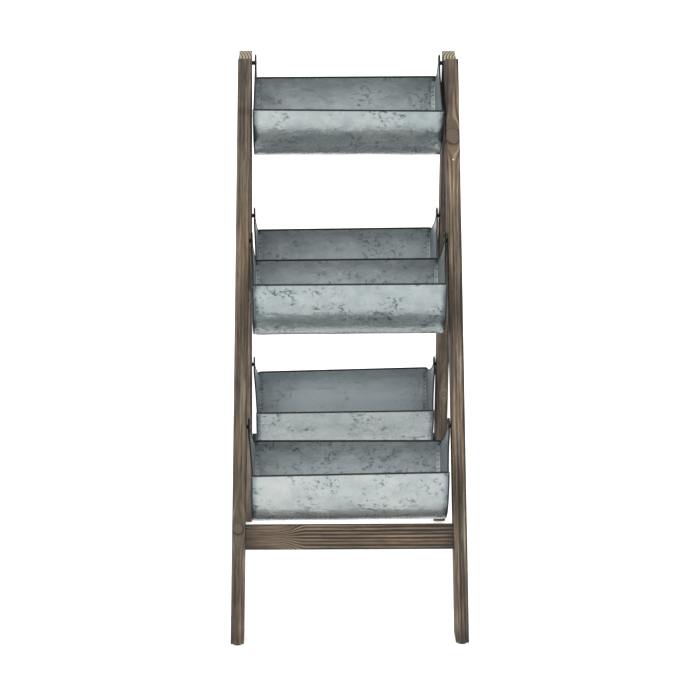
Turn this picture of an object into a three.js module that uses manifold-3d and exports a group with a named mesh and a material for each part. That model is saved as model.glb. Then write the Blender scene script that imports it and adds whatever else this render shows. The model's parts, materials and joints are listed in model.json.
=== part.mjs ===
// A-frame plant stand: two pairs of timber legs that lean together at the top, a crossbar low down
// between each pair, and five sheet-metal troughs that hang on screws between the left and right legs.
// Millimetres, +Z up, +X to the right of someone who faces the front, origin on the floor in the middle.

import * as THREE from 'three';
import { mergeVertices } from 'three/addons/utils/BufferGeometryUtils.js';
import Module from 'manifold-3d';

const wasm = await Module();
wasm.setup();

// Clearance between neighbouring pieces, and how many flats make up round shapes
const GAP = 0.35;
const TROUGH_STEPS = 24;
const BEAD_STEPS = 6;
const BAR_STEPS = 12;
const HOLE_STEPS = 12;
const NECK_STEPS = 8; // one edge of an ear's slope, then of its foot, then its round tip
const FOOT_STEPS = 2;
const TIP_STEPS = 8;

// Timber frame
const HEIGHT = 1029.5; // floor to the outer top corner of a front leg
const REAR_RISE = 3.5; // how much further up the rear legs reach
const FOOT_REACH = 344; // centre plane to the outer face of a leg at its foot
const APEX_REACH = 46; // the same at the top of a front leg
const LEG_WIDTH = 24; // along X
const LEG_DEPTH = 50; // square to the outer face
const INNER_SPAN_TOP = 355.4; // between the left and right legs at the top
const INNER_SPAN_FOOT = 387; // and at the feet
const CROSSBAR_TOP = { front: 210.4, rear: 205 }; // floor to the outer top edge
const CROSSBAR_HEIGHT = 45;
const CROSSBAR_DEPTH = 24;
const CROSSBAR_RECESS = 3; // behind the outer face of the legs
const TENON = { length: 12, height: 28, depth: 10 };
const BRACKET = { top: 984, leaf: 62, thickness: 2, width: 18 };
const GLIDE = { radius: 8, height: 4, edge: 1, setback: 9.5 }; // setback: outer face to its centre

// Troughs: round-bottomed sheets with a bead along both rims, closed by end plates with an ear
const TROUGH_RADIUS = 110;
const WALL = 5.5; // upright part of the sheet, from the rim down to the round part
const SHEET = 1;
const BEAD = { radius: 1.7, open: Math.PI * 7 / 18 }; // rolled rim, and where it meets the sheet
const PIVOT_TO_RIM = 58.5;
const END_RECESS = 2; // end plate in from the end of the sheet
const LIP = 8; // width of the end plate's turned lip
const LIP_DROP = 9; // lip starts this far below the rim
const EAR = { radius: 12, rise: 2.5, notch: 4, power: 1.7, bendLow: -60, bendHigh: -10 };

// Pivot screws, spacers and where the troughs hang; tilt is in degrees, positive with the front rim low
const SCREW = { radius: 1.95, head: 4.3, rim: 0.6, dome: 1.1, bite: 18, point: 4 };
const HOLE = SCREW.radius + GAP;
const SPACER_RADIUS = 4;
const TIERS = [
  { name: 'top', end: 1, y: 18, z: 1013.6, tilt: 8.2, length: 350, standoff: 6.5 },
  { name: 'middle_front', end: -1, z: 704.4, tilt: -1.1, length: 352, standoff: 4.5 },
  { name: 'middle_rear', end: 1, z: 704.4, tilt: 3.9, length: 352, standoff: 4.5 },
  { name: 'lower_front', end: -1, z: 375.9, tilt: -2.2, length: 357, standoff: 4 },
  { name: 'lower_rear', end: 1, z: 375.9, tilt: 6.6, length: 357, standoff: 4 },
];

const SIDES = [{ name: 'left', sign: -1 }, { name: 'right', sign: 1 }];
const ENDS = [{ name: 'front', sign: -1 }, { name: 'rear', sign: 1 }];

// Values that follow from the driving dimensions
const FOOT_Z = GLIDE.height;
const LEAN = Math.atan((FOOT_REACH - APEX_REACH) / (HEIGHT - FOOT_Z));
const SPLAY = (INNER_SPAN_FOOT - INNER_SPAN_TOP) / 2 / (HEIGHT - FOOT_Z);
const SHEET_MIDDLE = TROUGH_RADIUS - SHEET / 2;
const PLATE_RADIUS = TROUGH_RADIUS - SHEET - 2 * GAP;

const outerFace = (z) => FOOT_REACH - (z - FOOT_Z) * Math.tan(LEAN);
const innerFace = (z) => outerFace(z) - LEG_DEPTH / Math.cos(LEAN);
const halfSpan = (z) => INNER_SPAN_TOP / 2 + (HEIGHT - z) * SPLAY;
const crossbarTop = (end) => (end > 0 ? CROSSBAR_TOP.rear : CROSSBAR_TOP.front);
const crossbarMiddle = (end) => crossbarTop(end) - CROSSBAR_HEIGHT * Math.cos(LEAN) / 2;
const pivotY = (tier) => tier.y ?? tier.end * (outerFace(tier.z) + innerFace(tier.z)) / 2;

function material(color, roughness, metalness) {
  return new THREE.MeshStandardMaterial({ color, roughness, metalness });
}

const timber = () => material(0x77695c, 0.8, 0);
const galvanised = () => material(0xb6bfc0, 0.45, 0.8);
const zincPlated = () => material(0xa9abad, 0.4, 0.8);
const blackSteel = () => material(0x1d1d1f, 0.5, 0.6);
const blackPlastic = () => material(0x161617, 0.7, 0);

// A BufferGeometry as a manifold solid, and back
function solid(geometry) {
  const bare = geometry.index ? geometry.toNonIndexed() : geometry.clone();
  bare.deleteAttribute('normal');
  bare.deleteAttribute('uv');
  const merged = mergeVertices(bare, 1e-4);
  return new wasm.Manifold(new wasm.Mesh({
    numProp: 3,
    vertProperties: new Float32Array(merged.attributes.position.array),
    triVerts: new Uint32Array(merged.index.array),
  }));
}

function surface(manifold) {
  const mesh = manifold.getMesh();
  const geometry = new THREE.BufferGeometry();
  geometry.setAttribute('position', new THREE.BufferAttribute(mesh.vertProperties, 3));
  geometry.setIndex(new THREE.BufferAttribute(mesh.triVerts, 1));
  geometry.computeVertexNormals();
  return geometry;
}

const cut = (geometry, tools) => surface(
  tools.reduce((body, tool) => body.subtract(solid(tool)), solid(geometry)),
);
const join = (geometries) => surface(
  geometries.slice(1).reduce((body, other) => body.add(solid(other)), solid(geometries[0])),
);

function arc(cx, cy, radius, from, to, steps) {
  return Array.from({ length: steps + 1 }, (_, i) => {
    const angle = from + (to - from) * i / steps;
    return new THREE.Vector2(cx + radius * Math.cos(angle), cy + radius * Math.sin(angle));
  });
}

// An outline drawn in (Y, Z), made solid from x = from to x = to
const ALONG_X = new THREE.Matrix4().makeBasis(
  new THREE.Vector3(0, 1, 0), new THREE.Vector3(0, 0, 1), new THREE.Vector3(1, 0, 0),
);
function slab(outline, from, to) {
  const shape = outline instanceof THREE.Shape ? outline : new THREE.Shape(outline);
  const geometry = new THREE.ExtrudeGeometry(shape, { depth: to - from, bevelEnabled: false });
  return geometry.applyMatrix4(ALONG_X).translate(from, 0, 0);
}

// Moves every point along X by slope * z + offset
const shear = (slope, offset) => new THREE.Matrix4().set(
  1, 0, slope, offset,
  0, 1, 0, 0,
  0, 0, 1, 0,
  0, 0, 0, 1,
);

// A round bar along X
function rod(radius, from, to, y, z) {
  const geometry = new THREE.CylinderGeometry(radius, radius, to - from, BAR_STEPS);
  return geometry.rotateZ(Math.PI / 2).translate((from + to) / 2, y, z);
}

// A screw hole through an outline drawn in (Y, Z)
function screwHole() {
  return new THREE.Path(arc(0, 0, HOLE, 0, -2 * Math.PI, HOLE_STEPS).slice(1));
}

// A round spacer between a leg and an ear
function spacer(from, to) {
  const shape = new THREE.Shape(arc(0, 0, SPACER_RADIUS, 0, 2 * Math.PI, BAR_STEPS).slice(1));
  shape.holes.push(screwHole());
  return slab(shape, from, to);
}

// A low-headed wood screw along X: its head is inside the trough, its point in the leg on that side
function pivotScrew(side, headAt, pointAt) {
  const length = pointAt - headAt;
  const profile = [
    new THREE.Vector2(0, -SCREW.rim - SCREW.dome),
    new THREE.Vector2(SCREW.head * 0.6, -SCREW.rim - SCREW.dome * 0.75),
    new THREE.Vector2(SCREW.head, -SCREW.rim),
    new THREE.Vector2(SCREW.head, 0),
    new THREE.Vector2(SCREW.radius, 0),
    new THREE.Vector2(SCREW.radius, length - SCREW.point),
    new THREE.Vector2(0, length),
  ];
  const geometry = new THREE.LatheGeometry(profile, BAR_STEPS);
  return geometry.rotateZ(-side * Math.PI / 2).translate(side * headAt, 0, 0);
}

// A straight-grained leg: level at the foot, cut square at the top, mitred where the pair meets
function leg(side, end) {
  const top = end > 0 ? HEIGHT + REAR_RISE : HEIGHT;
  const outerTop = outerFace(top);
  const square = Math.tan(LEAN);
  const seamTop = top - (outerTop - GAP / 2) * square;
  const seamFoot = FOOT_Z + (innerFace(FOOT_Z) - GAP / 2) / Math.tan(LEAN);
  const outline = [
    new THREE.Vector2(FOOT_REACH, FOOT_Z),
    new THREE.Vector2(outerTop, top),
    new THREE.Vector2(GAP / 2, seamTop),
    new THREE.Vector2(GAP / 2, seamFoot),
    new THREE.Vector2(innerFace(FOOT_Z), FOOT_Z),
  ];
  const points = outline.map((p) => new THREE.Vector2(end * p.x, p.y));
  const [from, to] = side > 0 ? [0, LEG_WIDTH] : [-LEG_WIDTH, 0];
  const bar = slab(points, from, to).applyMatrix4(shear(-side * SPLAY, side * halfSpan(0)));
  const holes = TIERS.filter((tier) => tier.end === end).map((tier) => {
    const mouth = side * halfSpan(tier.z);
    const ends = [mouth - side * SCREW.bite, mouth + side * (SCREW.bite + GAP)].sort((a, b) => a - b);
    return rod(HOLE, ...ends, pivotY(tier), tier.z);
  });
  return cut(bar, [...holes, mortise(side, end)]);
}

// Places a piece drawn in a crossbar's own frame: x along it, y from its outer face in, z up the leg
function inCrossbar(geometry, end) {
  const top = crossbarTop(end);
  const y = outerFace(top) - CROSSBAR_RECESS / Math.cos(LEAN);
  geometry.translate(0, 0, -CROSSBAR_HEIGHT / 2);
  if (end > 0) geometry.rotateZ(Math.PI);
  return geometry.rotateX(end * LEAN).translate(0, end * y, top);
}

function mortise(side, end) {
  const deep = TENON.length + 2 * GAP;
  const hole = new THREE.BoxGeometry(2 * deep, TENON.depth + 2 * GAP, TENON.height + 2 * GAP);
  const turned = side * (end > 0 ? -1 : 1);
  hole.translate(turned * halfSpan(crossbarMiddle(end)), CROSSBAR_DEPTH / 2, 0);
  return inCrossbar(hole, end);
}

// A bar between the legs, its ends cut to their splay, with a stub tenon at each end
function crossbar(end) {
  const half = halfSpan(crossbarMiddle(end)) - GAP;
  const flare = SPLAY * CROSSBAR_HEIGHT / 2;
  const face = new THREE.Shape([
    new THREE.Vector2(-half - flare, -CROSSBAR_HEIGHT / 2),
    new THREE.Vector2(half + flare, -CROSSBAR_HEIGHT / 2),
    new THREE.Vector2(half - flare, CROSSBAR_HEIGHT / 2),
    new THREE.Vector2(-half + flare, CROSSBAR_HEIGHT / 2),
  ]);
  const bar = new THREE.ExtrudeGeometry(face, { depth: CROSSBAR_DEPTH, bevelEnabled: false });
  bar.rotateX(Math.PI / 2).translate(0, CROSSBAR_DEPTH, 0);
  const tenons = new THREE.BoxGeometry(2 * (half + TENON.length), TENON.depth, TENON.height);
  tenons.translate(0, CROSSBAR_DEPTH / 2, 0);
  return inCrossbar(join([bar, tenons]), end);
}

// A bent steel strap in the angle between a front and a rear leg
function apexBracket(side) {
  const face = (z) => innerFace(z) - GAP / Math.cos(LEAN);
  const foot = BRACKET.top - BRACKET.leaf * Math.cos(LEAN);
  const thick = BRACKET.thickness / Math.cos(LEAN);
  const outline = [
    new THREE.Vector2(face(foot), foot),
    new THREE.Vector2(face(BRACKET.top), BRACKET.top),
    new THREE.Vector2(-face(BRACKET.top), BRACKET.top),
    new THREE.Vector2(-face(foot), foot),
    new THREE.Vector2(-face(foot) + thick, foot),
    new THREE.Vector2(-face(BRACKET.top) + thick, BRACKET.top - BRACKET.thickness),
    new THREE.Vector2(face(BRACKET.top) - thick, BRACKET.top - BRACKET.thickness),
    new THREE.Vector2(face(foot) - thick, foot),
  ];
  const middle = halfSpan(BRACKET.top) + LEG_WIDTH / 2;
  return slab(outline, side * middle - BRACKET.width / 2, side * middle + BRACKET.width / 2);
}

function glide(side, end) {
  const profile = [
    new THREE.Vector2(0, 0),
    new THREE.Vector2(GLIDE.radius - GLIDE.edge, 0),
    new THREE.Vector2(GLIDE.radius, GLIDE.edge),
    new THREE.Vector2(GLIDE.radius, GLIDE.height - GAP),
    new THREE.Vector2(0, GLIDE.height - GAP),
  ];
  const y = outerFace(FOOT_Z) - GLIDE.setback;
  const x = halfSpan(FOOT_Z) + LEG_WIDTH / 2;
  return new THREE.LatheGeometry(profile, BAR_STEPS).rotateX(Math.PI / 2).translate(side * x, end * y, 0);
}

// The pieces of a trough are drawn with the pivot axis as the X axis

function troughSheet(length) {
  const bead = (y) => arc(y, 0, BEAD.radius, -BEAD.open, Math.PI + BEAD.open, BEAD_STEPS);
  const outline = [
    ...arc(0, -WALL, TROUGH_RADIUS, Math.PI, 2 * Math.PI, TROUGH_STEPS),
    ...bead(SHEET_MIDDLE),
    ...arc(0, -WALL, TROUGH_RADIUS - SHEET, 2 * Math.PI, Math.PI, TROUGH_STEPS),
    ...bead(-SHEET_MIDDLE),
  ];
  return slab(outline, -length / 2, length / 2).translate(0, 0, -PIVOT_TO_RIM);
}

// Half the width of an end plate's ear at a height above the pivot
const EAR_FOOT = -PIVOT_TO_RIM - EAR.notch;
function earHalfWidth(z) {
  const rise = (EAR.rise - z) / (EAR.rise - EAR_FOOT);
  return EAR.radius + (PLATE_RADIUS - EAR.radius) * rise ** EAR.power;
}

// One edge of the ear between two heights, on the side given by sign
function earEdge(sign, from, to, steps) {
  return Array.from({ length: steps + 1 }, (_, i) => {
    const z = from + (to - from) * i / steps;
    return new THREE.Vector2(sign * earHalfWidth(z), z);
  });
}

function endPlate(side, plateOuter, joggle) {
  const [from, to] = [side * (plateOuter - SHEET), side * plateOuter].sort((a, b) => a - b);
  const centre = -PIVOT_TO_RIM - WALL;
  const wall = slab([
    ...arc(0, centre, PLATE_RADIUS, Math.PI, 2 * Math.PI, TROUGH_STEPS),
    ...earEdge(1, EAR_FOOT, EAR.bendLow, FOOT_STEPS),
    ...earEdge(-1, EAR.bendLow, EAR_FOOT, FOOT_STEPS),
  ], from, to);
  const slope = side * joggle / (EAR.bendHigh - EAR.bendLow);
  const neck = slab([
    ...earEdge(1, EAR.bendLow, EAR.bendHigh, NECK_STEPS),
    ...earEdge(-1, EAR.bendHigh, EAR.bendLow, NECK_STEPS),
  ], from, to).applyMatrix4(shear(slope, -slope * EAR.bendLow));
  const tip = new THREE.Shape([
    ...earEdge(1, EAR.bendHigh, EAR.rise, FOOT_STEPS),
    ...arc(0, EAR.rise, EAR.radius, 0, Math.PI, TIP_STEPS).slice(1, -1),
    ...earEdge(-1, EAR.rise, EAR.bendHigh, FOOT_STEPS),
  ]);
  tip.holes.push(screwHole());
  const head = slab(tip, from, to).translate(side * joggle, 0, 0);
  const turn = Math.asin((LIP_DROP - WALL) / PLATE_RADIUS);
  const [inner, outer] = [side * (plateOuter - LIP), side * (plateOuter - SHEET / 2)].sort((a, b) => a - b);
  const lip = slab([
    ...arc(0, centre, PLATE_RADIUS, Math.PI + turn, 2 * Math.PI - turn, TROUGH_STEPS),
    ...arc(0, centre, PLATE_RADIUS - SHEET, 2 * Math.PI - turn, Math.PI + turn, TROUGH_STEPS),
  ], inner, outer);
  return join([wall, neck, head, lip]);
}

const stand = new THREE.Group();

function add(parent, name, geometry, finish) {
  const mesh = new THREE.Mesh(geometry, finish);
  mesh.name = name;
  parent.add(mesh);
}

for (const end of ENDS) {
  for (const side of SIDES) {
    add(stand, `leg_${end.name}_${side.name}`, leg(side.sign, end.sign), timber());
    add(stand, `glide_${end.name}_${side.name}`, glide(side.sign, end.sign), blackPlastic());
  }
  add(stand, `crossbar_${end.name}`, crossbar(end.sign), timber());
}
for (const side of SIDES) {
  add(stand, `apex_bracket_${side.name}`, apexBracket(side.sign), blackSteel());
}

for (const tier of TIERS) {
  const span = halfSpan(tier.z);
  const ear = span - tier.standoff;
  const plateOuter = tier.length / 2 - END_RECESS;
  const pivot = new THREE.Group();
  pivot.position.set(0, pivotY(tier), tier.z);
  stand.add(pivot);

  const trough = new THREE.Group();
  trough.rotation.x = THREE.MathUtils.degToRad(tier.tilt);
  pivot.add(trough);
  add(trough, `${tier.name}_trough_sheet`, troughSheet(tier.length), galvanised());

  for (const side of SIDES) {
    const s = side.sign;
    const plate = endPlate(s, plateOuter, ear - plateOuter);
    add(trough, `${tier.name}_trough_end_${side.name}`, plate, galvanised());
    const screw = pivotScrew(s, ear - SHEET - GAP, span + SCREW.bite);
    add(pivot, `${tier.name}_screw_${side.name}`, screw, zincPlated());
    const slack = GAP + SPACER_RADIUS * SPLAY;
    const ends = [s * (span - slack), s * (ear + GAP)].sort((a, b) => a - b);
    add(pivot, `${tier.name}_spacer_${side.name}`, spacer(...ends), blackPlastic());
  }
}

export default stand;
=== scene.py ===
"""An A-frame plant stand: two pairs of leaning timber legs, a crossbar low down between each pair, and
five galvanised troughs that hang between the legs on screws. Metres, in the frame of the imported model."""

import json
import math

import bmesh
import bpy
from mathutils import Matrix, Vector, noise


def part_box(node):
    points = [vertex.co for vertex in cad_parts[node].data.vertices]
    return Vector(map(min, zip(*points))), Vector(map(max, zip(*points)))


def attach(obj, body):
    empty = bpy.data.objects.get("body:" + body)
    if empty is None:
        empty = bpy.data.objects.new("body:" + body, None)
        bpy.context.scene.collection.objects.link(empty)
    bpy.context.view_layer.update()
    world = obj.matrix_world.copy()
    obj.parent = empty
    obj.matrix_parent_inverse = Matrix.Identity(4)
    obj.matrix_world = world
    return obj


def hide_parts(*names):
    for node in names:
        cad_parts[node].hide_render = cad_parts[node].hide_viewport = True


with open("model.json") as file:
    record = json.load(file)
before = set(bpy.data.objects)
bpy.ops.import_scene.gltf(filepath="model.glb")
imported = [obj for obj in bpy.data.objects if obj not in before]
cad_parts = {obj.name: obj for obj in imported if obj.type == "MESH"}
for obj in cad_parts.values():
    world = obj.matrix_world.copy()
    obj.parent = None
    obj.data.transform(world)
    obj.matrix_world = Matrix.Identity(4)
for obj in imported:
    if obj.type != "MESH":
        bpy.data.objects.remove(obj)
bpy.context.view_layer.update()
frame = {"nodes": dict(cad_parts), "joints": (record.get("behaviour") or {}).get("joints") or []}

MM = 0.001
SIDES = {"left": -1, "right": 1}
ENDS = {"front": -1, "rear": 1}

# Timber frame, as in the CAD model
HEIGHT = 1029.5 * MM
FOOT_Z = 4 * MM
FOOT_REACH = 344 * MM
APEX_REACH = 46 * MM
LEG_WIDTH = 24 * MM
LEG_DEPTH = 50 * MM
CROSSBAR_WIDTH = 45 * MM
INNER_SPAN_TOP = 355.4 * MM
INNER_SPAN_FOOT = 387 * MM
BRACKET_TOP = 984 * MM
BRACKET_THICKNESS = 2 * MM
GLIDE_RADIUS = 8 * MM
TAN_LEAN = (FOOT_REACH - APEX_REACH) / (HEIGHT - FOOT_Z)
COS_LEAN = 1 / math.hypot(1, TAN_LEAN)
SPLAY = (INNER_SPAN_FOOT - INNER_SPAN_TOP) / 2 / (HEIGHT - FOOT_Z)

# Troughs: a short straight wall below each rim, then half a circle
TROUGH_RADIUS = 110 * MM
PIVOT_TO_RIM = 58.5 * MM
WALL = 5.5 * MM
PIVOT_TO_CENTRE = PIVOT_TO_RIM + WALL
SHEET = 1 * MM
RIM_BEAD = 1.7 * MM
END_RECESS = 2 * MM
PLATE_THICKNESS = 1 * MM
PLATE_GAP = 0.4 * MM
LIP = 8 * MM
LIP_DROP = 9 * MM
SEAM_BEAD = 1.7 * MM
SHOULDER = {"length": 12 * MM, "depth": 3.4 * MM, "drop": 2.8 * MM, "drop_length": 4.5 * MM}
EAR = {
    "radius": 12 * MM, "rise": 2.5 * MM, "notch": 4 * MM, "power": 1.7,
    "bend_low": -60 * MM, "bend_high": -10 * MM,
}
CLINCH = {"pitch": 8.5 * MM, "radius": 1.2 * MM, "height": 0.5 * MM}
SCREW = {
    "radius": 1.95 * MM, "head": 4.3 * MM, "rim": 0.6 * MM, "dome": 1.1 * MM,
    "bite": 18 * MM, "point": 4 * MM, "pitch": 1.6 * MM,
}
SPACER = {"radius": 4 * MM, "bore": 2.2 * MM, "chamfer": 0.4 * MM}
GAP = 0.35 * MM

# Each trough: its tilt at rest in degrees, front rim down, its length and how far its ears stand off
# the legs in millimetres, how far it is from true, as rise to the right and twist in radians a metre,
# and how much lighter or darker its zinc is painted outside and inside, as painted light and shade
TROUGHS = {
    "top": {
        "tilt": 8.2, "length": 350, "standoff": 6.5, "rise": 0.0003, "twist": 0.062,
        "painted_lights": (-0.02, 0.03),
    },
    "middle_front": {
        "tilt": -1.1, "length": 352, "standoff": 4.5, "rise": 0.0068, "twist": 0.021,
        "painted_lights": (-0.05, 0.0),
    },
    "middle_rear": {
        "tilt": 3.9, "length": 352, "standoff": 4.5, "rise": 0.010, "twist": 0.020,
        "painted_lights": (0.0, 0.08),
    },
    "lower_front": {
        "tilt": -2.2, "length": 357, "standoff": 4.0, "rise": 0.0066, "twist": -0.087,
        "painted_lights": (0.05, 0.06),
    },
    "lower_rear": {
        "tilt": 6.6, "length": 357, "standoff": 4.0, "rise": 0.0188, "twist": 0.059,
        "painted_lights": (0.03, 0.46),
    },
}
PIVOTS = {j["child"].removesuffix("_trough"): Vector(j["pos_m"]) for j in frame["joints"]}


def half_span(z):
    return INNER_SPAN_TOP / 2 + (HEIGHT - z) * SPLAY


def outer_face(z):
    return FOOT_REACH - (z - FOOT_Z) * TAN_LEAN


def smoothstep(low, high, value):
    t = min(max((value - low) / (high - low), 0), 1)
    return t * t * (3 - 2 * t)


def quarter_round(t):
    """0 at t = 0 and 1 at t = 1, as a quarter of a circle that starts level."""
    return 1 - math.sqrt(max(1 - min(max(t, 0), 1) ** 2, 0))


def in_metres(values):
    return tuple(v * MM for v in values)


# Materials


class Shader:
    """A node material with a Principled surface, and short ways to add and link its nodes."""

    def __init__(self, name, **surface):
        self.material = bpy.data.materials.new(name)
        self.material.use_nodes = True
        self.tree = self.material.node_tree
        self.tree.nodes.clear()
        self.surface = self.tree.nodes.new("ShaderNodeBsdfPrincipled")
        output = self.tree.nodes.new("ShaderNodeOutputMaterial")
        self.tree.links.new(self.surface.outputs["BSDF"], output.inputs["Surface"])
        for key, value in surface.items():
            self.put(self.surface.inputs[key.replace("_", " ").title()], value)

    def put(self, socket, value):
        if isinstance(value, bpy.types.NodeSocket):
            self.tree.links.new(value, socket)
        else:
            socket.default_value = value

    def node(self, kind, values=(), **settings):
        node = self.tree.nodes.new(kind)
        for key, value in settings.items():
            setattr(node, key, value)
        for key, value in dict(values).items():
            self.put(node.inputs[key], value)
        return node

    def math(self, operation, *values, clamp=False):
        node = self.node("ShaderNodeMath", enumerate(values), operation=operation, use_clamp=clamp)
        return node.outputs[0]

    def vector(self, operation, *values):
        node = self.node("ShaderNodeVectorMath", enumerate(values), operation=operation)
        return node.outputs["Value" if operation == "DOT_PRODUCT" else "Vector"]

    def scaled(self, vector, factor):
        node = self.node("ShaderNodeVectorMath", {0: vector, "Scale": factor}, operation="SCALE")
        return node.outputs["Vector"]

    def off_middle(self, value, weight):
        """A value that runs from 0 to 1, as a part for sum that adds nothing at 0.5."""
        return self.math("SUBTRACT", value, 0.5), weight

    def position(self, seed):
        """The point in the piece's own space, shifted by the seed so that no two pieces match."""
        place = self.node("ShaderNodeTexCoord").outputs["Object"]
        return self.vector("ADD", place, (1.3 * seed, 2.1 * seed, 0.7 * seed))

    def noise(self, position, scale, detail=2.0, roughness=0.5, output="Fac"):
        values = {"Vector": position, "Scale": scale, "Detail": detail, "Roughness": roughness}
        return self.node("ShaderNodeTexNoise", values).outputs[output]

    def cells(self, position, scale):
        return self.node("ShaderNodeTexVoronoi", {"Vector": position, "Scale": scale}).outputs["Color"]

    def step(self, value, low, high, start=0.0, end=1.0):
        values = {"Value": value, "From Min": low, "From Max": high, "To Min": start, "To Max": end}
        return self.node("ShaderNodeMapRange", values, interpolation_type="SMOOTHSTEP").outputs[0]

    def sum(self, start, *parts):
        """start plus each value times its weight, where a part is (value, weight)."""
        total = start
        for value, weight in parts:
            total = self.math("MULTIPLY_ADD", value, weight, total)
        return total

    def mix(self, factor, first, second):
        node = self.node("ShaderNodeMix", {0: factor, 6: first, 7: second}, data_type="RGBA")
        return node.outputs[2]

    def ramp(self, value, stops):
        node = self.node("ShaderNodeValToRGB", {"Fac": value})
        elements = node.color_ramp.elements
        while len(elements) < len(stops):
            elements.new(0.5)
        for element, (place, colour) in zip(elements, stops):
            element.position = place
            element.color = (*colour, 1)
        return node.outputs["Color"]

    def bump(self, height, distance, strength=1.0, normal=None):
        values = {"Height": height, "Distance": distance, "Strength": strength}
        if normal is not None:
            values["Normal"] = normal
        return self.node("ShaderNodeBump", values).outputs["Normal"]

    def finish(self, **linked):
        for key, value in linked.items():
            self.put(self.surface.inputs[key.replace("_", " ").title()], value)
        return self.material


def galvanised(name, seed, half_length=None, dull=0.0, painted_light=0.0):
    """Zinc-coated sheet: soft clouds, dark scribbles and pits, faint spangles, painted shade towards
    the ends where half_length is given, for the shading and the legs' reflection there, a greyer,
    less shiny surface as dull rises to 1, and painted light and shade that make one trough lighter or
    darker."""
    s = Shader(name, metallic=0.67)
    place = s.position(seed)
    wobble = s.vector("SUBTRACT", s.noise(place, 60, 3, output="Color"), (0.5, 0.5, 0.5))
    warped = s.vector("ADD", place, s.scaled(wobble, 14 * MM))
    drawn = s.vector("MULTIPLY", warped, (0.6, 1.0, 1.0))
    clouds = s.noise(place, 7, 2)
    mottle = s.noise(drawn, 42, 4, 0.54)
    spangles = s.cells(warped, 85)
    spangle = s.node("ShaderNodeSeparateColor", {"Color": spangles}).outputs
    contour = s.math("ABSOLUTE", s.math("SUBTRACT", s.noise(drawn, 88, 3, 0.6), 0.5))
    busy = s.step(s.noise(place, 20, 2, 0.5), 0.44, 0.60)
    broken = s.math("MULTIPLY", busy, s.step(s.noise(place, 120, 1), 0.46, 0.56))
    scribbles = s.math("MULTIPLY", s.step(contour, 0.055, 0.015), broken)
    pits = s.math("MULTIPLY", s.step(s.noise(place, 240, 1), 0.76, 0.82), busy)
    marks = s.math("MAXIMUM", scribbles, pits)
    # painted light and shade: the trough's lift makes this copy of the zinc lighter or darker than the rest
    tone = s.sum(
        0.57 - 0.10 * dull + painted_light, s.off_middle(clouds, 0.60), s.off_middle(mottle, 0.62),
        s.off_middle(spangle[0], 0.08), (marks, -0.50 + 0.20 * dull),
    )
    if half_length:
        x = s.node("ShaderNodeSeparateXYZ", {
            "Vector": s.node("ShaderNodeTexCoord").outputs["Object"],
        }).outputs["X"]
        ragged = s.sum(s.math("ABSOLUTE", x), s.off_middle(s.noise(place, 90, 3), 5 * MM))
        # painted shade: the zinc darkens over the last few millimetres towards each end of the sheet
        painted_end_shade = s.step(ragged, half_length - 15 * MM, half_length - 2 * MM)
        tone = s.sum(tone, (painted_end_shade, -0.50))
    colour = s.ramp(tone, [
        (0.0, (0.068, 0.086, 0.092)),
        (0.30, (0.200, 0.238, 0.248)),
        (0.60, (0.310, 0.343, 0.342 + 0.010 * dull)),
        (1.0, (0.44 - 0.05 * dull, 0.445, 0.425 + 0.040 * dull)),
    ])
    roughness = s.sum(0.25 + 0.23 * dull, (spangle[1], 0.05), (marks, 0.15), s.off_middle(mottle, 0.12))
    tilt = s.vector("SUBTRACT", spangles, (0.5, 0.5, 0.5))
    facing = s.node("ShaderNodeNewGeometry").outputs["Normal"]
    normal = s.vector("NORMALIZE", s.vector("ADD", facing, s.scaled(tilt, 0.04)))
    crinkles = s.bump(s.noise(drawn, 38, 3, 0.50), 2.0 * MM, 0.9, normal)
    return s.finish(base_color=colour, roughness=roughness, normal=crinkles)


def rubbed_metal(name, seed, shade, metallic=0.7, rough=0.38):
    """Plain metal with rubbed patches and speckle, for the rolled edges, the screws and the straps."""
    s = Shader(name, metallic=metallic)
    place = s.position(seed)
    rubbed = s.noise(place, 160, 4, 0.65)
    speckle = s.noise(place, 900, 2)
    tone = s.sum(0.0, (rubbed, 0.75), (speckle, 0.25))
    low, high = [c * 0.6 for c in shade], [min(c * 2.2, 0.8) for c in shade]
    colour = s.ramp(tone, [(0.3, low), (0.52, shade), (0.75, high)])
    roughness = s.sum(rough - 0.12, (rubbed, 0.25))
    return s.finish(base_color=colour, roughness=roughness, normal=s.bump(speckle, 0.08 * MM, 0.5))


def moulded_plastic(name):
    """Black plastic with a fine mould texture and scuffs."""
    s = Shader(name)
    place = s.position(9)
    scuffs = s.noise(place, 240, 4, 0.7)
    pebble = s.noise(place, 2200, 1)
    colour = s.ramp(scuffs, [(0.3, (0.010, 0.010, 0.011)), (0.7, (0.035, 0.034, 0.033))])
    roughness = s.sum(0.45, (scuffs, 0.35))
    return s.finish(base_color=colour, roughness=roughness, normal=s.bump(pebble, 0.05 * MM, 0.6))


KNOT_STRETCH = 2.4
KNOT_INFLUENCE = 1.1
# painted shade: a knot's rim is darker on its lower right side than on its upper left
KNOT_RIM_UNSHADED_SHARE = 0.25  # a knot's dark rim is this much as dark on its upper side as below
FAN = 1.6  # how much closer the grain lies where it has gathered


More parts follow.
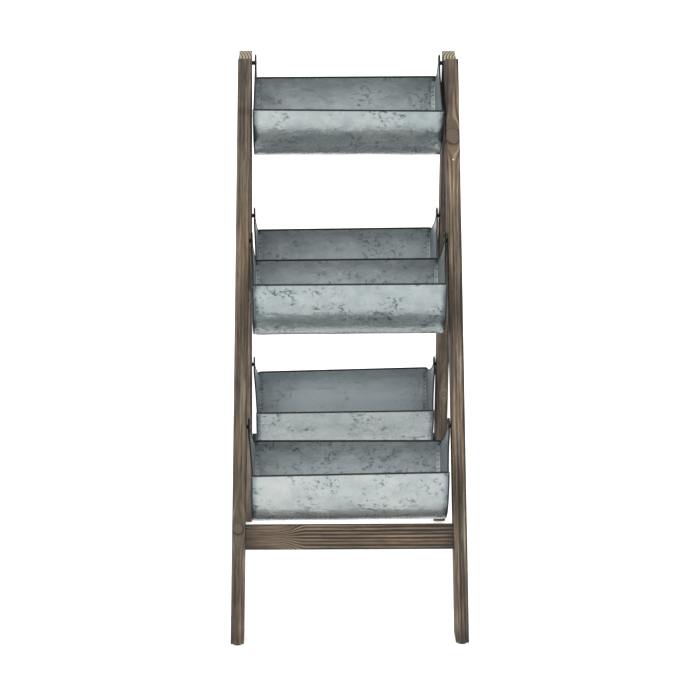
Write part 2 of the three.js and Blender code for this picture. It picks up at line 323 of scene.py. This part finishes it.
def timber(name, look, width, origin, along, across):
    """Grey-brown stained pine in a piece's own axes: u along the grain, v across it, w into the depth.
    In a look, pith is where the heart of the tree lies in (v, w), pitch is from one year ring to the
    next, rings is how strongly they show on the faces, fan is from where to where they gather, a knot
    is (u, v, radius, how much of it is seen), a fleck is (u, v, radius), and a band is (u, half its
    height, how much darker)."""
    s = Shader(name)
    along = Vector(along).normalized()
    across = (Vector(across) - Vector(across).dot(along) * along).normalized()
    into = along.cross(across)
    texture = s.node("ShaderNodeTexCoord").outputs
    place = s.vector("SUBTRACT", texture["Object"], tuple(origin))
    u, v, w = (s.vector("DOT_PRODUCT", place, tuple(axis)) for axis in (along, across, into))
    flat_v = v
    gathered = 0.0
    if "fan" in look:
        gathered = s.step(u, *in_metres(look["fan"]))
        v = s.math("MULTIPLY", v, s.sum(1.0, (gathered, FAN)))

    def squared(value):
        return s.math("MULTIPLY", value, value)

    knot_mask, knot_edge, knot_reach = 0.0, 0.0, 1.0
    for *knot, seen in look["knots"]:
        knot_u, knot_v, radius = in_metres(knot)
        du = s.math("SUBTRACT", u, knot_u)
        dv = s.math("SUBTRACT", v, knot_v)
        held = (radius * KNOT_INFLUENCE) ** 2
        far = s.math("ADD", squared(s.math("DIVIDE", du, KNOT_STRETCH)), squared(dv))
        flow = s.math("DIVIDE", held, s.math("MAXIMUM", far, held))
        v = s.math("SUBTRACT", v, s.math("MULTIPLY", dv, flow))
        near = s.math("ADD", squared(s.math("MULTIPLY", du, 0.85)), squared(dv))
        reach = s.math("DIVIDE", s.math("SQRT", near), radius)
        reach = s.sum(reach, s.off_middle(s.noise(place, 110, 2), 0.60))
        knot_mask = s.math("MAXIMUM", knot_mask, s.step(reach, 1.10, 0.92, 0.0, seen))
        rim = s.step(s.math("ABSOLUTE", s.math("SUBTRACT", reach, 1.02)), 0.28, 0.0, 0.0, seen)
        # painted shade: the rim is darkened more along the knot's lower right side
        below = s.step(s.math("SUBTRACT", dv, du), -radius, radius, KNOT_RIM_UNSHADED_SHARE, 1.0)
        rim = s.math("MULTIPLY", rim, below)
        knot_edge = s.math("MAXIMUM", knot_edge, rim)
        knot_reach = s.math("MINIMUM", knot_reach, reach)

    def grain_space(stretch_u, stretch_v):
        values = {
            "X": s.math("MULTIPLY", u, stretch_u),
            "Y": s.math("MULTIPLY", v, stretch_v),
            "Z": s.math("MULTIPLY", w, stretch_v),
        }
        shifted = s.node("ShaderNodeCombineXYZ", values).outputs[0]
        seed = look["seed"]
        return s.vector("ADD", shifted, (3.7 * seed, 1.9 * seed, 5.3 * seed))

    drift = s.noise(grain_space(1.8, 6), 1, 2)
    waver = s.noise(grain_space(8, 60), 1, 2)
    pith_v, pith_w = in_metres(look["pith"])
    dv = s.math("SUBTRACT", s.sum(v, s.off_middle(drift, 16 * MM), s.off_middle(waver, 2 * MM)), pith_v)
    dw = s.math("SUBTRACT", w, pith_w)
    radius = s.math("SQRT", s.math("ADD", squared(dv), squared(dw)))
    ring = s.math("DIVIDE", radius, look["pitch"] * MM)
    year = s.node("ShaderNodeTexWhiteNoise", {"W": s.math("FLOOR", ring)}, noise_dimensions="1D")
    wave = s.math("ABSOLUTE", s.sum(-1.0, (s.math("FRACT", ring), 2.0)))
    band = s.step(wave, 0.80, 0.20)
    late = s.math("MULTIPLY", band, s.sum(0.55, (year.outputs["Value"], 0.6), (gathered, -0.45)))

    contrast = look["contrast"]
    lines = s.step(s.noise(grain_space(8, 330), 1, 3, 0.6), 0.40, 0.60)
    streaks = s.noise(grain_space(5, 95), 1, 4, 0.62)
    fibres = s.noise(grain_space(30, 1100), 1, 4, 0.65)
    smudges = s.noise(grain_space(45, 170), 1, 3, 0.6)
    blotches = s.noise(grain_space(7, 24), 1, 3)
    checks = s.step(s.noise(grain_space(14, 760), 1, 1), 0.66, 0.70)
    tone = s.sum(
        0.51 + 0.30 * look["rings"], (late, -look["rings"]), s.off_middle(lines, 0.13 * contrast),
        s.off_middle(streaks, 1.05 * contrast), s.off_middle(fibres, 0.70),
        s.off_middle(blotches, 0.80), s.off_middle(smudges, 0.40), (checks, -0.30), (knot_edge, -0.60),
    )
    # painted shade: the tone is darkened along both long edges of each face, for the dark outlines shading
    # gives
    painted_edge_shade = s.step(s.math("ABSOLUTE", flat_v), width / 2 - 2.2 * MM, width / 2)
    tone = s.sum(tone, (painted_edge_shade, -0.20))
    for band_u, reach, weight in look.get("bands", ()):
        off = s.math("ABSOLUTE", s.math("SUBTRACT", u, band_u * MM))
        tone = s.sum(tone, (s.step(off, reach * MM, 0.0), -weight))
    grey = s.ramp(tone, [
        (0.0, (0.014, 0.010, 0.006)),
        (0.30, (0.049, 0.036, 0.023)),
        (0.55, (0.096, 0.071, 0.046)),
        (0.80, (0.160, 0.123, 0.083)),
        (1.0, (0.250, 0.200, 0.142)),
    ])
    brown = s.ramp(tone, [
        (0.0, (0.014, 0.008, 0.004)),
        (0.30, (0.054, 0.033, 0.018)),
        (0.55, (0.103, 0.068, 0.039)),
        (0.80, (0.172, 0.120, 0.075)),
        (1.0, (0.260, 0.192, 0.128)),
    ])
    warm = look["warm"]
    hue = s.step(s.noise(grain_space(2.5, 90), 1, 2), 0.62 - 0.3 * warm, 0.80 - 0.3 * warm)
    face = s.mix(hue, grey, brown)
    heart_rings = s.math("FRACT", s.math("MULTIPLY", knot_reach, 2.7))
    heart = s.ramp(heart_rings, [(0.0, (0.130, 0.090, 0.062)), (0.8, (0.084, 0.059, 0.042))])
    face = s.mix(s.math("MULTIPLY", knot_mask, 0.6), face, heart)
    for fleck_u, fleck_v, radius in map(in_metres, look.get("flecks", ())):
        away = s.math("ADD", squared(s.math("SUBTRACT", u, fleck_u)),
                      squared(s.math("SUBTRACT", flat_v, fleck_v)))
        chip = s.step(s.math("SQRT", away), radius, 0.6 * radius)
        face = s.mix(chip, face, (0.70, 0.68, 0.62, 1))

    end_tone = s.sum(0.78, (band, -0.80), s.off_middle(s.noise(place, 1200, 2), 0.5))
    end_grain = s.ramp(end_tone, [
        (0.0, (0.070, 0.048, 0.030)),
        (0.35, (0.20, 0.16, 0.105)),
        (0.80, (0.40, 0.345, 0.24)),
    ])
    level = s.math("ABSOLUTE", s.vector("DOT_PRODUCT", texture["Normal"], tuple(along)))
    colour = s.mix(s.step(level, 0.80, 0.92), face, end_grain)
    roughness = s.sum(0.66, (late, 0.10), (checks, 0.12))
    height = s.sum(0.0, (late, 0.35), (lines, 0.25), (fibres, 0.4), (checks, -0.8), (knot_edge, -0.3))
    return s.finish(base_color=colour, roughness=roughness, normal=s.bump(height, 0.6 * MM, 0.8))


# Mesh building


class Form:
    """Closed forms gathered into one mesh, each face with the number of its material."""

    def __init__(self):
        self.vertices = []
        self.faces = []
        self.slots = []

    def add(self, vertices, faces, slot=0):
        start = len(self.vertices)
        self.vertices += [tuple(v) for v in vertices]
        self.faces += [[start + i for i in face] for face in faces]
        self.slots += [slot] * len(faces)

    def loft(self, rings, slot=0, caps=True, joined=False):
        """Joins rings of equal length in turn, closed by a face at both ends or joined in a loop."""
        size = len(rings[0])
        pairs = len(rings) if joined else len(rings) - 1
        faces = []
        for i in range(pairs):
            a, b = i * size, (i + 1) % len(rings) * size
            faces += [(a + j, a + (j + 1) % size, b + (j + 1) % size, b + j) for j in range(size)]
        if caps and not joined:
            faces.append(range(size))
            faces.append(range((len(rings) - 1) * size, len(rings) * size))
        self.add([v for ring in rings for v in ring], faces, slot)

    def piece(self, name, materials, place=Matrix(), sharp=38):
        mesh = bpy.data.meshes.new(name)
        mesh.from_pydata(self.vertices, [], self.faces)
        for material in materials:
            mesh.materials.append(material)
        mesh.polygons.foreach_set("material_index", self.slots)
        shape = bmesh.new()
        shape.from_mesh(mesh)
        bmesh.ops.recalc_face_normals(shape, faces=shape.faces)
        shape.to_mesh(mesh)
        shape.free()
        mesh.shade_smooth()
        mesh.set_sharp_from_angle(angle=math.radians(sharp))
        piece = bpy.data.objects.new(name, mesh)
        bpy.context.scene.collection.objects.link(piece)
        piece.matrix_world = place
        return piece


def circle(x, radius, sides=32):
    """A ring round the X axis."""
    turns = [2 * math.pi * i / sides for i in range(sides)]
    return [Vector((x, radius * math.cos(a), radius * math.sin(a))) for a in turns]


def tube(path, radius, sides=8):
    """Rings along a closed path that lies nearly in a plane square to X."""
    rings = []
    for i, point in enumerate(path):
        ahead = (path[(i + 1) % len(path)] - path[i - 1]).normalized()
        out = ahead.cross(Vector((1, 0, 0))).normalized()
        up = out.cross(ahead)
        turns = [2 * math.pi * j / sides for j in range(sides)]
        rings.append([point + radius * (math.cos(a) * out + math.sin(a) * up) for a in turns])
    return rings


def adopt(piece, body, slot, *nodes):
    """The piece moves with a body and stands for CAD nodes; its slot is not used."""
    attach(piece, body)
    if nodes:
        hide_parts(*nodes)


# Troughs


class Trough:
    """One trough, drawn with the axis of its screws as the X axis."""

    def __init__(self, name, tilt, length, standoff, rise, twist, painted_lights):
        self.name = name
        self.painted_lights = painted_lights
        self.seed = 1.0 + list(TROUGHS).index(name)
        self.pivot = PIVOTS[name]
        self.place = Matrix.Translation(self.pivot) @ Matrix.Rotation(math.radians(tilt), 4, "X")
        self.half = length * MM / 2
        self.span = half_span(self.pivot.z)
        self.ear_face = self.span - standoff * MM
        self.plate_at = self.half - END_RECESS - PLATE_THICKNESS / 2
        self.plate_radius = TROUGH_RADIUS - SHEET - PLATE_GAP - self.shoulder(self.plate_at)
        self.rise = rise
        self.twist = twist

    def shoulder(self, x):
        """How far the sheet has drawn in at x, towards the seam at its end."""
        start = self.half - SHOULDER["length"]
        return SHOULDER["depth"] * quarter_round((abs(x) - start) / SHOULDER["length"])

    def rim_drop(self, x):
        """How far the rim has rounded down at x."""
        start = self.half - SHOULDER["drop_length"]
        return SHOULDER["drop"] * quarter_round((abs(x) - start) / SHOULDER["drop_length"])

    def dent(self, x, turn):
        """The slight unevenness of hand-rolled sheet, none at the ends and the rims."""
        calm = smoothstep(0.5, 0.42, abs(x) / self.half / 2) * smoothstep(0, 0.25, math.sin(turn))
        broad = noise.noise(Vector((9 * x, 1.1 * turn, 7 * self.seed)))
        small = noise.noise(Vector((30 * x, 3.5 * turn, 7 * self.seed + 3)))
        return calm * (0.8 * broad + 0.25 * small) * MM

    def skin(self, x, radius, rows):
        """A skin's outline at x, from the front rim round the bottom to the rear rim."""
        reach = radius - self.shoulder(x)
        top = -PIVOT_TO_RIM - self.rim_drop(x) - 0.9 * RIM_BEAD
        points = [Vector((x, -reach, top))]
        for i in range(rows + 1):
            turn = math.pi * i / rows
            bulge = reach + self.dent(x, turn)
            points.append(Vector((x, -bulge * math.cos(turn), -PIVOT_TO_CENTRE - bulge * math.sin(turn))))
        points.append(Vector((x, reach, top)))
        return points

    def ear_half_width(self, z):
        foot = -PIVOT_TO_RIM - EAR["notch"]
        rise = max((EAR["rise"] - z) / (EAR["rise"] - foot), 0)
        return EAR["radius"] + (self.plate_radius - EAR["radius"]) * rise ** EAR["power"]

    def plate_offset(self, z):
        """Where the end plate lies along X at height z: its ear leans across to meet the screws."""
        low, high, bend = EAR["bend_low"], EAR["bend_high"], 3 * MM
        shares = [min(max((z + off - low) / (high - low), 0), 1) for off in (-bend, 0, bend)]
        return self.plate_at + (self.ear_face - PLATE_THICKNESS / 2 - self.plate_at) * sum(shares) / 3

    def plate_rows(self):
        """Heights and half widths of the end plate, from its lowest point to the tip of its ear."""
        foot = -PIVOT_TO_RIM - EAR["notch"]
        rows = []
        for i in range(1, 33):
            turn = math.pi / 2 * i / 32
            rows.append((
                -PIVOT_TO_CENTRE - self.plate_radius * math.cos(turn), self.plate_radius * math.sin(turn),
            ))
        for i in range(31):
            z = foot + (EAR["rise"] - foot) * i / 30
            rows.append((z, self.ear_half_width(z)))
        for i in range(1, 9):
            turn = math.pi / 2 * i / 8.3
            rows.append((EAR["rise"] + EAR["radius"] * math.sin(turn), EAR["radius"] * math.cos(turn)))
        return rows

    def out_of_true(self, point):
        """The point after the trough's rise to one end and its twist, which fade out up the ears."""
        share = smoothstep(-5 * MM, -PIVOT_TO_RIM, point.z)
        angle = share * self.twist * point.x
        below = point.z + PIVOT_TO_RIM
        y = point.y * math.cos(angle) - below * math.sin(angle)
        z = point.y * math.sin(angle) + below * math.cos(angle) - PIVOT_TO_RIM
        return Vector((point.x, y, z + share * self.rise * point.x))

    def sheet_piece(self, name, form, materials):
        form.vertices = [self.out_of_true(Vector(point)) for point in form.vertices]
        return form.piece(f"{self.name}_{name}", materials, self.place)


def sheet_stations(half):
    inset = [0, 0.4, 1, 1.8, 2.8, 4, 5.4, 7, 9, 11.5, 14.5]
    ends = [half - i * MM for i in inset]
    middle = 52
    inner = [ends[-1] * (1 - 2 * i / middle) for i in range(1, middle)]
    return ends + inner + [-x for x in reversed(ends)]


def sheet_ring(trough, x, rows, bead_steps):
    """The sheet's section at x: outer skin, rear bead, inner skin, front bead."""
    outer = trough.skin(x, TROUGH_RADIUS, rows)
    inner = trough.skin(x, TROUGH_RADIUS - SHEET, rows)
    beads = []
    opening = math.asin(SHEET / 2 / RIM_BEAD)
    middle = TROUGH_RADIUS - SHEET / 2 - trough.shoulder(x)
    for sign in (1, -1):
        centre = Vector((x, sign * middle, -PIVOT_TO_RIM - trough.rim_drop(x)))
        sweep = 2 * (math.pi - opening)
        angles = [opening - math.pi / 2 + sweep * i / bead_steps for i in range(1, bead_steps)]
        beads.append([centre + RIM_BEAD * Vector((0, math.cos(a), math.sin(a))) for a in angles])
    return outer + beads[0] + inner[::-1] + beads[1]


# The materials of a sheet, by place in its list
OUTSIDE, EDGE, INSIDE = 0, 1, 2


def rolled_sheet(trough):
    """The sheet with a rolled bead along both rims, drawn in at both ends."""
    form = Form()
    rows, bead_steps = 84, 14
    rings = [sheet_ring(trough, x, rows, bead_steps) for x in sheet_stations(trough.half)]
    size = len(rings[0])
    last = rows + 2
    bead = bead_steps - 1
    rear = range(last, last + bead + 1)
    front = range(2 * last + 1 + bead, size)
    kinds = [OUTSIDE] * last + [EDGE] * (bead + 1) + [INSIDE] * last + [EDGE] * (bead + 1)
    form.vertices = [v for ring in rings for v in ring]
    for i in range(len(rings) - 1):
        for j in range(size):
            a, b, ahead = i * size, (i + 1) * size, (j + 1) % size
            form.faces.append((a + j, a + ahead, b + ahead, b + j))
        form.slots += kinds
    for start in (0, (len(rings) - 1) * size):
        back = start + front[0]
        form.faces += [(start + i, start + i + 1, back - i - 1, back - i) for i in range(last)]
        form.faces.append([start + j for j in range(rear[0], rear[-1] + 2)])
        form.faces.append([start + j for j in front] + [start])
        # the sheet's cut ends take the near-black edge metal: partly a darkened cut edge, partly painted
        # shade of the gap beside the legs
        form.slots += [EDGE] * (last + 2)
    return form


def end_plate(trough, side):
    form = Form()
    columns = 14
    rings = []
    for z, half in trough.plate_rows():
        x = trough.plate_offset(z)
        across = [half * (2 * i / columns - 1) for i in range(columns + 1)]
        near = [Vector((side * (x - PLATE_THICKNESS / 2), y, z)) for y in across]
        far = [Vector((side * (x + PLATE_THICKNESS / 2), y, z)) for y in reversed(across)]
        rings.append(near + far)
    form.loft(rings)

    # The lip that is turned in from the plate and lines the end of the sheet
    steps = 60
    turn = (LIP_DROP - WALL) / trough.plate_radius
    lip_rings = []
    for i in range(steps + 1):
        a = turn + (math.pi - 2 * turn) * i / steps
        ring = []
        for skin, inset in ((0, 0), (0, 1), (0, 2), (0, 3), (1, 3), (1, 2), (1, 1), (1, 0)):
            x = trough.plate_at - LIP * inset / 3
            radius = TROUGH_RADIUS - SHEET - PLATE_GAP - trough.shoulder(x) - skin * PLATE_THICKNESS * 0.8
            ring.append(Vector((side * x, -radius * math.cos(a), -PIVOT_TO_CENTRE - radius * math.sin(a))))
        lip_rings.append(ring)
    form.loft(lip_rings)

    # The rolled edge: round the end of the sheet as its seam, and up both sides of the ear
    seam_x = trough.half - SEAM_BEAD
    seam_radius = TROUGH_RADIUS - SHEET / 2 - trough.shoulder(seam_x)
    path = []
    for i in range(73):
        a = math.pi * i / 72
        path.append(Vector((
            side * seam_x, -seam_radius * math.cos(a), -PIVOT_TO_CENTRE - seam_radius * math.sin(a),
        )))
    edge = [(z, half) for z, half in trough.plate_rows() if z > -PIVOT_TO_RIM - EAR["notch"] + MM]
    path += [Vector((side * trough.plate_offset(z), half, z)) for z, half in edge]
    path += [Vector((side * trough.plate_offset(z), -half, z)) for z, half in reversed(edge)]
    form.loft(tube(path, SEAM_BEAD), slot=1, joined=True)
    return form


def clinch_marks(trough, side):
    """A row of punch marks where the lip is pressed to the sheet."""
    form = Form()
    x = side * (trough.plate_at - LIP / 2)
    radius = TROUGH_RADIUS - SHEET - PLATE_GAP - 0.8 * PLATE_THICKNESS - trough.shoulder(x)
    first = 1.5 * LIP_DROP / radius
    count = round((math.pi - 2 * first) * radius / CLINCH["pitch"])
    sideways = Vector((1, 0, 0))
    for i in range(count + 1):
        a = first + (math.pi - 2 * first) * i / count
        out = Vector((0, -math.cos(a), -math.sin(a)))
        ahead = Vector((0, math.sin(a), -math.cos(a)))
        foot = Vector((x, 0, -PIVOT_TO_CENTRE)) + radius * out
        rings = []
        for share, rise in ((1, -0.4), (1, 0.15), (0.75, 0.7), (0.35, 1)):
            rings.append([
                foot - rise * CLINCH["height"] * out
                + share * CLINCH["radius"] * (math.cos(t) * sideways + math.sin(t) * ahead)
                for t in (math.pi / 4 * j for j in range(8))
            ])
        form.loft(rings)
    return form


def shaped_ring(x, radius, sides):
    """A ring round the X axis whose radius is a function of the turn."""
    turns = [2 * math.pi * i / sides for i in range(sides)]
    return [Vector((x, radius(a) * math.cos(a), radius(a) * math.sin(a))) for a in turns]


def cross_recess(turn):
    return (0.5 + 1.3 * abs(math.cos(2 * turn)) ** 7) * MM


def screw_head(seat):
    """Rings of a low pan head with a cross recess, from the floor of the recess to the seat."""
    sides = 48
    edge = seat - SCREW["rim"]

    def dome(radius):
        return edge - SCREW["dome"] * (1 - (radius / SCREW["head"]) ** 2)

    rings = [shaped_ring(dome(0) + 1.0 * MM, lambda a: 0.45 * cross_recess(a), sides)]
    for share in (0, 0.25, 0.5, 0.75, 0.9, 1):
        ring = []
        for point in shaped_ring(0, cross_recess, sides):
            flat = point.length + (SCREW["head"] - point.length) * share
            way = point.normalized() * flat
            ring.append(Vector((dome(flat), way.y, way.z)))
        rings.append(ring)
    rings.append(circle(seat - 0.1 * MM, SCREW["head"], sides))
    rings.append(circle(seat, SCREW["head"] - 0.1 * MM, sides))
    return rings


def screw(side, seat, tip):
    """A pan-head screw, its head inside the trough's ear and its thread in the leg."""
    form = Form()
    rings = screw_head(seat)
    sides = len(rings[0])
    shank_end = tip - 0.75 * (tip - seat)
    rings.append(circle(seat, SCREW["radius"], sides))
    rows = 72
    for i in range(rows + 1):
        x = shank_end + (tip - SCREW["point"] - shank_end) * i / rows
        ring = []
        for j, point in enumerate(circle(x, 1, sides)):
            phase = (x / SCREW["pitch"] + j / sides) % 1
            groove = (1 - abs(2 * phase - 1)) * smoothstep(0, 0.08, i / rows)
            radius = SCREW["radius"] * (1 - 0.28 * groove)
            ring.append(Vector((x, point.y * radius, point.z * radius)))
        rings.append(ring)
    rings.append(circle(tip - 0.5 * SCREW["point"], 0.5 * SCREW["radius"], sides))
    rings.append(circle(tip, 0.06 * SCREW["radius"], sides))
    form.loft([[Vector((side * p.x, p.y, p.z)) for p in ring] for ring in rings])
    return form


def spacer(side, leg_face, ear_face):
    """A short moulded sleeve round the screw, with chamfered ends and a shallow waist."""
    form = Form()
    cut, radius = SPACER["chamfer"], SPACER["radius"]
    length = leg_face - ear_face
    profile = [
        (0, SPACER["bore"]), (0, radius - cut), (cut, radius), (0.3 * length, radius),
        (0.4 * length, radius - cut), (0.6 * length, radius - cut), (0.7 * length, radius),
        (length - cut, radius), (length, radius - cut), (length, SPACER["bore"]),
    ]
    form.loft([circle(side * (ear_face + x), r) for x, r in profile], joined=True)
    return form


def build_trough(trough, metals):
    name = trough.name
    body = f"{name}_trough"
    seed, half, (painted_light, inner_painted_light) = trough.seed, trough.half, trough.painted_lights
    zinc = galvanised(f"galvanised_{name}_outside", seed, half, painted_light=painted_light)
    dull_zinc = galvanised(f"galvanised_{name}_inside", seed + 0.2, half, dull=1.0, painted_light=inner_painted_light)
    end_zinc = galvanised(f"galvanised_{name}_ends", seed + 0.4, dull=0.8)
    sheet = trough.sheet_piece("rolled_sheet", rolled_sheet(trough), [zinc, metals["rim"], dull_zinc])
    adopt(sheet, body, "galvanised", f"{name}_trough_sheet")
    at_pivot = Matrix.Translation(trough.pivot)
    slack = GAP + 4 * MM * SPLAY
    for side, sign in SIDES.items():
        plate = end_plate(trough, sign)
        plate = trough.sheet_piece(f"seamed_end_{side}", plate, [end_zinc, metals["rim"]])
        adopt(plate, body, "galvanised", f"{name}_trough_end_{side}")
        marks = clinch_marks(trough, sign)
        marks = trough.sheet_piece(f"clinch_marks_{side}", marks, [metals["rim"]])
        adopt(marks, body, "galvanised")
        seat = trough.ear_face - PLATE_THICKNESS - GAP
        fixing = screw(sign, seat, trough.span + SCREW["bite"])
        fixing = fixing.piece(f"{name}_pan_screw_{side}", [metals["plated"]], at_pivot)
        adopt(fixing, "frame", "zinc_plated", f"{name}_screw_{side}")
        sleeve = spacer(sign, trough.span - slack, trough.ear_face + GAP)
        sleeve = sleeve.piece(f"{name}_sleeve_{side}", [metals["plastic"]], at_pivot)
        adopt(sleeve, "frame", "black_plastic", f"{name}_spacer_{side}")


# Timber frame

# Knots, flecks and bands are measured up the grain from a leg's foot, or from a crossbar's middle,
# and across from the middle of its width, in millimetres
LEG_LOOKS = {
    ("front", "left"): {
        "seed": 1.0, "pith": (-72, 14), "pitch": 5.6, "rings": 0.12, "warm": 0.50, "contrast": 1.7,
        "knots": [(203, -1, 8.5, 0.9)],
        "bands": [(965, 14, 0.16), (850, 130, -0.09), (480, 260, 0.10), (60, 120, 0.12), (0, 22, 0.25)],
    },
    ("front", "right"): {
        "seed": 2.0, "pith": (66, 18), "pitch": 5.2, "rings": 0.30, "warm": 0.8, "contrast": 2.1,
        "knots": [(919, -1, 11.5, 1.0)], "flecks": [(876, -1, 1.5)],
        "bands": [(860, 160, -0.08), (0, 22, 0.25)],
    },
    ("rear", "left"): {
        "seed": 3.0, "pith": (-75, -18), "pitch": 5.4, "rings": 0.18, "warm": 0.5, "contrast": 1.4,
        "knots": [(560, 5, 5, 0.8)], "bands": [(0, 22, 0.25)],
    },
    ("rear", "right"): {
        "seed": 4.0, "pith": (70, -16), "pitch": 5.4, "rings": 0.22, "warm": 0.6, "contrast": 1.6,
        # painted shade: the band at 600 darkens nearly the whole leg, which stands behind the troughs
        "knots": [(330, 3, 5.5, 0.8)], "bands": [(600, 800, 0.16), (0, 22, 0.25)],
    },
}
CROSSBAR_LOOKS = {
    "front": {
        "seed": 5.0, "pith": (-95, 12), "pitch": 7.0, "rings": 0.80, "warm": 0.95, "contrast": 1.0,
        "knots": [], "fan": (-80, -140),
        # painted shade: the bands at -190 and 190 darken the crossbar's ends where it meets the legs
        "bands": [(-190, 30, 0.25), (190, 24, 0.30), (-170, 80, 0.14), (0, 900, 0.10)],
    },
    "rear": {
        "seed": 6.0, "pith": (90, 20), "pitch": 6.4, "rings": 0.50, "warm": 0.6, "contrast": 1.0,
        "knots": [(70, -6, 6, 0.8)],
    },
}


def soften_edges(node, width, segments=2):
    bevel = node.modifiers.new("softened_edges", "BEVEL")
    bevel.width = width
    bevel.segments = segments
    bevel.limit_method = "ANGLE"
    bevel.angle_limit = math.radians(35)
    bevel.harden_normals = False


def dress_timber(node, look, width, origin, along, across):
    wood = timber(f"stained_{node.name}", look, width, origin, along, across)
    node.data.materials.clear()
    node.data.materials.append(wood)
    soften_edges(node, 0.9 * MM)


def build_timber():
    for (end, side), look in LEG_LOOKS.items():
        sign, turn = SIDES[side], ENDS[end]
        middle_x = sign * (half_span(FOOT_Z) + LEG_WIDTH / 2)
        middle_y = turn * (FOOT_REACH - LEG_DEPTH / COS_LEAN / 2)
        along = (-sign * SPLAY, -turn * TAN_LEAN, 1)
        node = frame["nodes"][f"leg_{end}_{side}"]
        dress_timber(node, look, LEG_WIDTH, Vector((middle_x, middle_y, FOOT_Z)), along, (1, 0, 0))
    for end, look in CROSSBAR_LOOKS.items():
        turn = ENDS[end]
        low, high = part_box(f"crossbar_{end}")
        up = (0, -turn * TAN_LEAN, 1)
        node = frame["nodes"][f"crossbar_{end}"]
        dress_timber(node, look, CROSSBAR_WIDTH, (low + high) / 2, (1, 0, 0), up)


def glide_piece(node, plastic):
    """A nail-on glide: a shallow dished disc."""
    low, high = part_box(node)
    form = Form()
    height = high.z - low.z
    profile = [
        (0.35, 0.10), (0.55, 0.0), (0.80, 0.0), (0.93, 0.06), (0.985, 0.18), (1.0, 0.32),
        (1.0, 0.86), (0.97, 0.97), (0.92, 1.0), (0.30, 1.0),
    ]
    rings = [circle(height * z, GLIDE_RADIUS * r, 40) for r, z in profile]
    form.loft(rings)
    centre = (low + high) / 2
    stand = Matrix.Translation((centre.x, centre.y, low.z)) @ Matrix.Rotation(-math.pi / 2, 4, "Y")
    piece = form.piece(node + "_disc", [plastic], stand)
    adopt(piece, "frame", "black_plastic", node)


def bracket_screws(side, steel):
    """Countersunk-drive pan heads, two in each leaf of the strap."""
    form = Form()
    head, rise = 3.6 * MM, 1.9 * MM
    profile = [
        (0.0, 1.0), (0.25, 1.0), (0.55, 0.93), (0.85, 0.72), (0.99, 0.45), (1.0, 0.38),
        (0.55, 0.36), (0.42, 0.30), (0.30, 0.12),
    ]
    x = SIDES[side] * (half_span(BRACKET_TOP) + LEG_WIDTH / 2)
    for turn in ENDS.values():
        for down in (22 * MM, 48 * MM):
            z = BRACKET_TOP - down * COS_LEAN
            face = outer_face(z) - LEG_DEPTH / COS_LEAN - (GAP + BRACKET_THICKNESS) / COS_LEAN
            inwards = Vector((0, -turn, -TAN_LEAN)).normalized()
            level = Vector((1, 0, 0))
            slope = inwards.cross(level)
            foot = Vector((x, turn * face, z))
            rings = []
            for along, radius in profile:
                centre = foot + inwards * rise * (along if along > 0 else 0)
                turns = [2 * math.pi * i / 24 for i in range(24)]
                rings.append([
                    centre + head * radius * (math.cos(a) * level + math.sin(a) * slope) for a in turns
                ])
            form.loft(rings)
    piece = form.piece(f"bracket_screws_{side}", [steel])
    adopt(piece, "frame", "black_steel")


def build_ironmongery(metals):
    for side in SIDES:
        bracket = frame["nodes"][f"apex_bracket_{side}"]
        bracket.data.materials.clear()
        bracket.data.materials.append(metals["steel"])
        soften_edges(bracket, 0.5 * MM)
        bracket_screws(side, metals["steel"])
        for end in ENDS:
            glide_piece(f"glide_{end}_{side}", metals["plastic"])


# Studio


FLOOR_GLOW = 0.45  # the floor is a lit white table, so the shadows on it are faint


def build_studio():
    scene = bpy.context.scene
    scene.view_settings.view_transform = "Standard"
    world = bpy.data.worlds.new("studio")
    world.use_nodes = True
    world.node_tree.nodes["Background"].inputs["Color"].default_value = (1, 1, 1, 1)
    world.node_tree.nodes["Background"].inputs["Strength"].default_value = 1.22
    scene.world = world

    bpy.ops.mesh.primitive_plane_add(size=60, location=(0, 0, 0))
    floor = bpy.context.object
    floor.name = "studio_floor"
    floor.data.materials.append(Shader(
        "studio_floor", base_color=(0.9, 0.9, 0.9, 1), roughness=0.9,
        emission_color=(1, 1, 1, 1), emission_strength=FLOOR_GLOW,
    ).material)

    light = bpy.data.lights.new("soft_key", "AREA")
    light.energy = 45
    light.size = 3.2
    key = bpy.data.objects.new("soft_key", light)
    scene.collection.objects.link(key)
    stand_at, look_at = Vector((-1.6, -3.4, 2.9)), Vector((0, 0, 0.5))
    key.matrix_world = Matrix.Translation(stand_at) @ (
        (look_at - stand_at).to_track_quat("-Z", "Y").to_matrix().to_4x4()
    )


def build_camera():
    """Level with the top of the stand, a little left of it, looking down and to the right."""
    lens = bpy.data.cameras.new("camera")
    lens.sensor_width = 36
    lens.lens = 102.86
    camera = bpy.data.objects.new("camera", lens)
    bpy.context.scene.collection.objects.link(camera)
    yaw, pitch, roll = 0.025, 0.27, 0.004
    camera.matrix_world = (
        Matrix.Translation((-0.0865, -3.7145, 1.4921))
        @ Matrix.Rotation(-yaw, 4, "Z")
        @ Matrix.Rotation(math.pi / 2 - pitch, 4, "X")
        @ Matrix.Rotation(roll, 4, "Z")
    )
    bpy.context.scene.camera = camera


build_camera()
build_studio()
metals = {
    # the near-black rolled edges are partly a darkened edge, partly painted shade under the hem and beside
    # the legs
    "rim": rubbed_metal("rolled_edge_and_painted_shade", 7, (0.012, 0.014, 0.015), 0.5, 0.46),
    "steel": rubbed_metal("black_steel", 8, (0.014, 0.014, 0.015), 0.6, 0.40),
    "plated": rubbed_metal("zinc_plated", 10, (0.15, 0.155, 0.16), 1.0, 0.34),
    "plastic": moulded_plastic("black_plastic"),
}
build_timber()
build_ironmongery(metals)
for name, figures in TROUGHS.items():
    build_trough(Trough(name, **figures), metals)
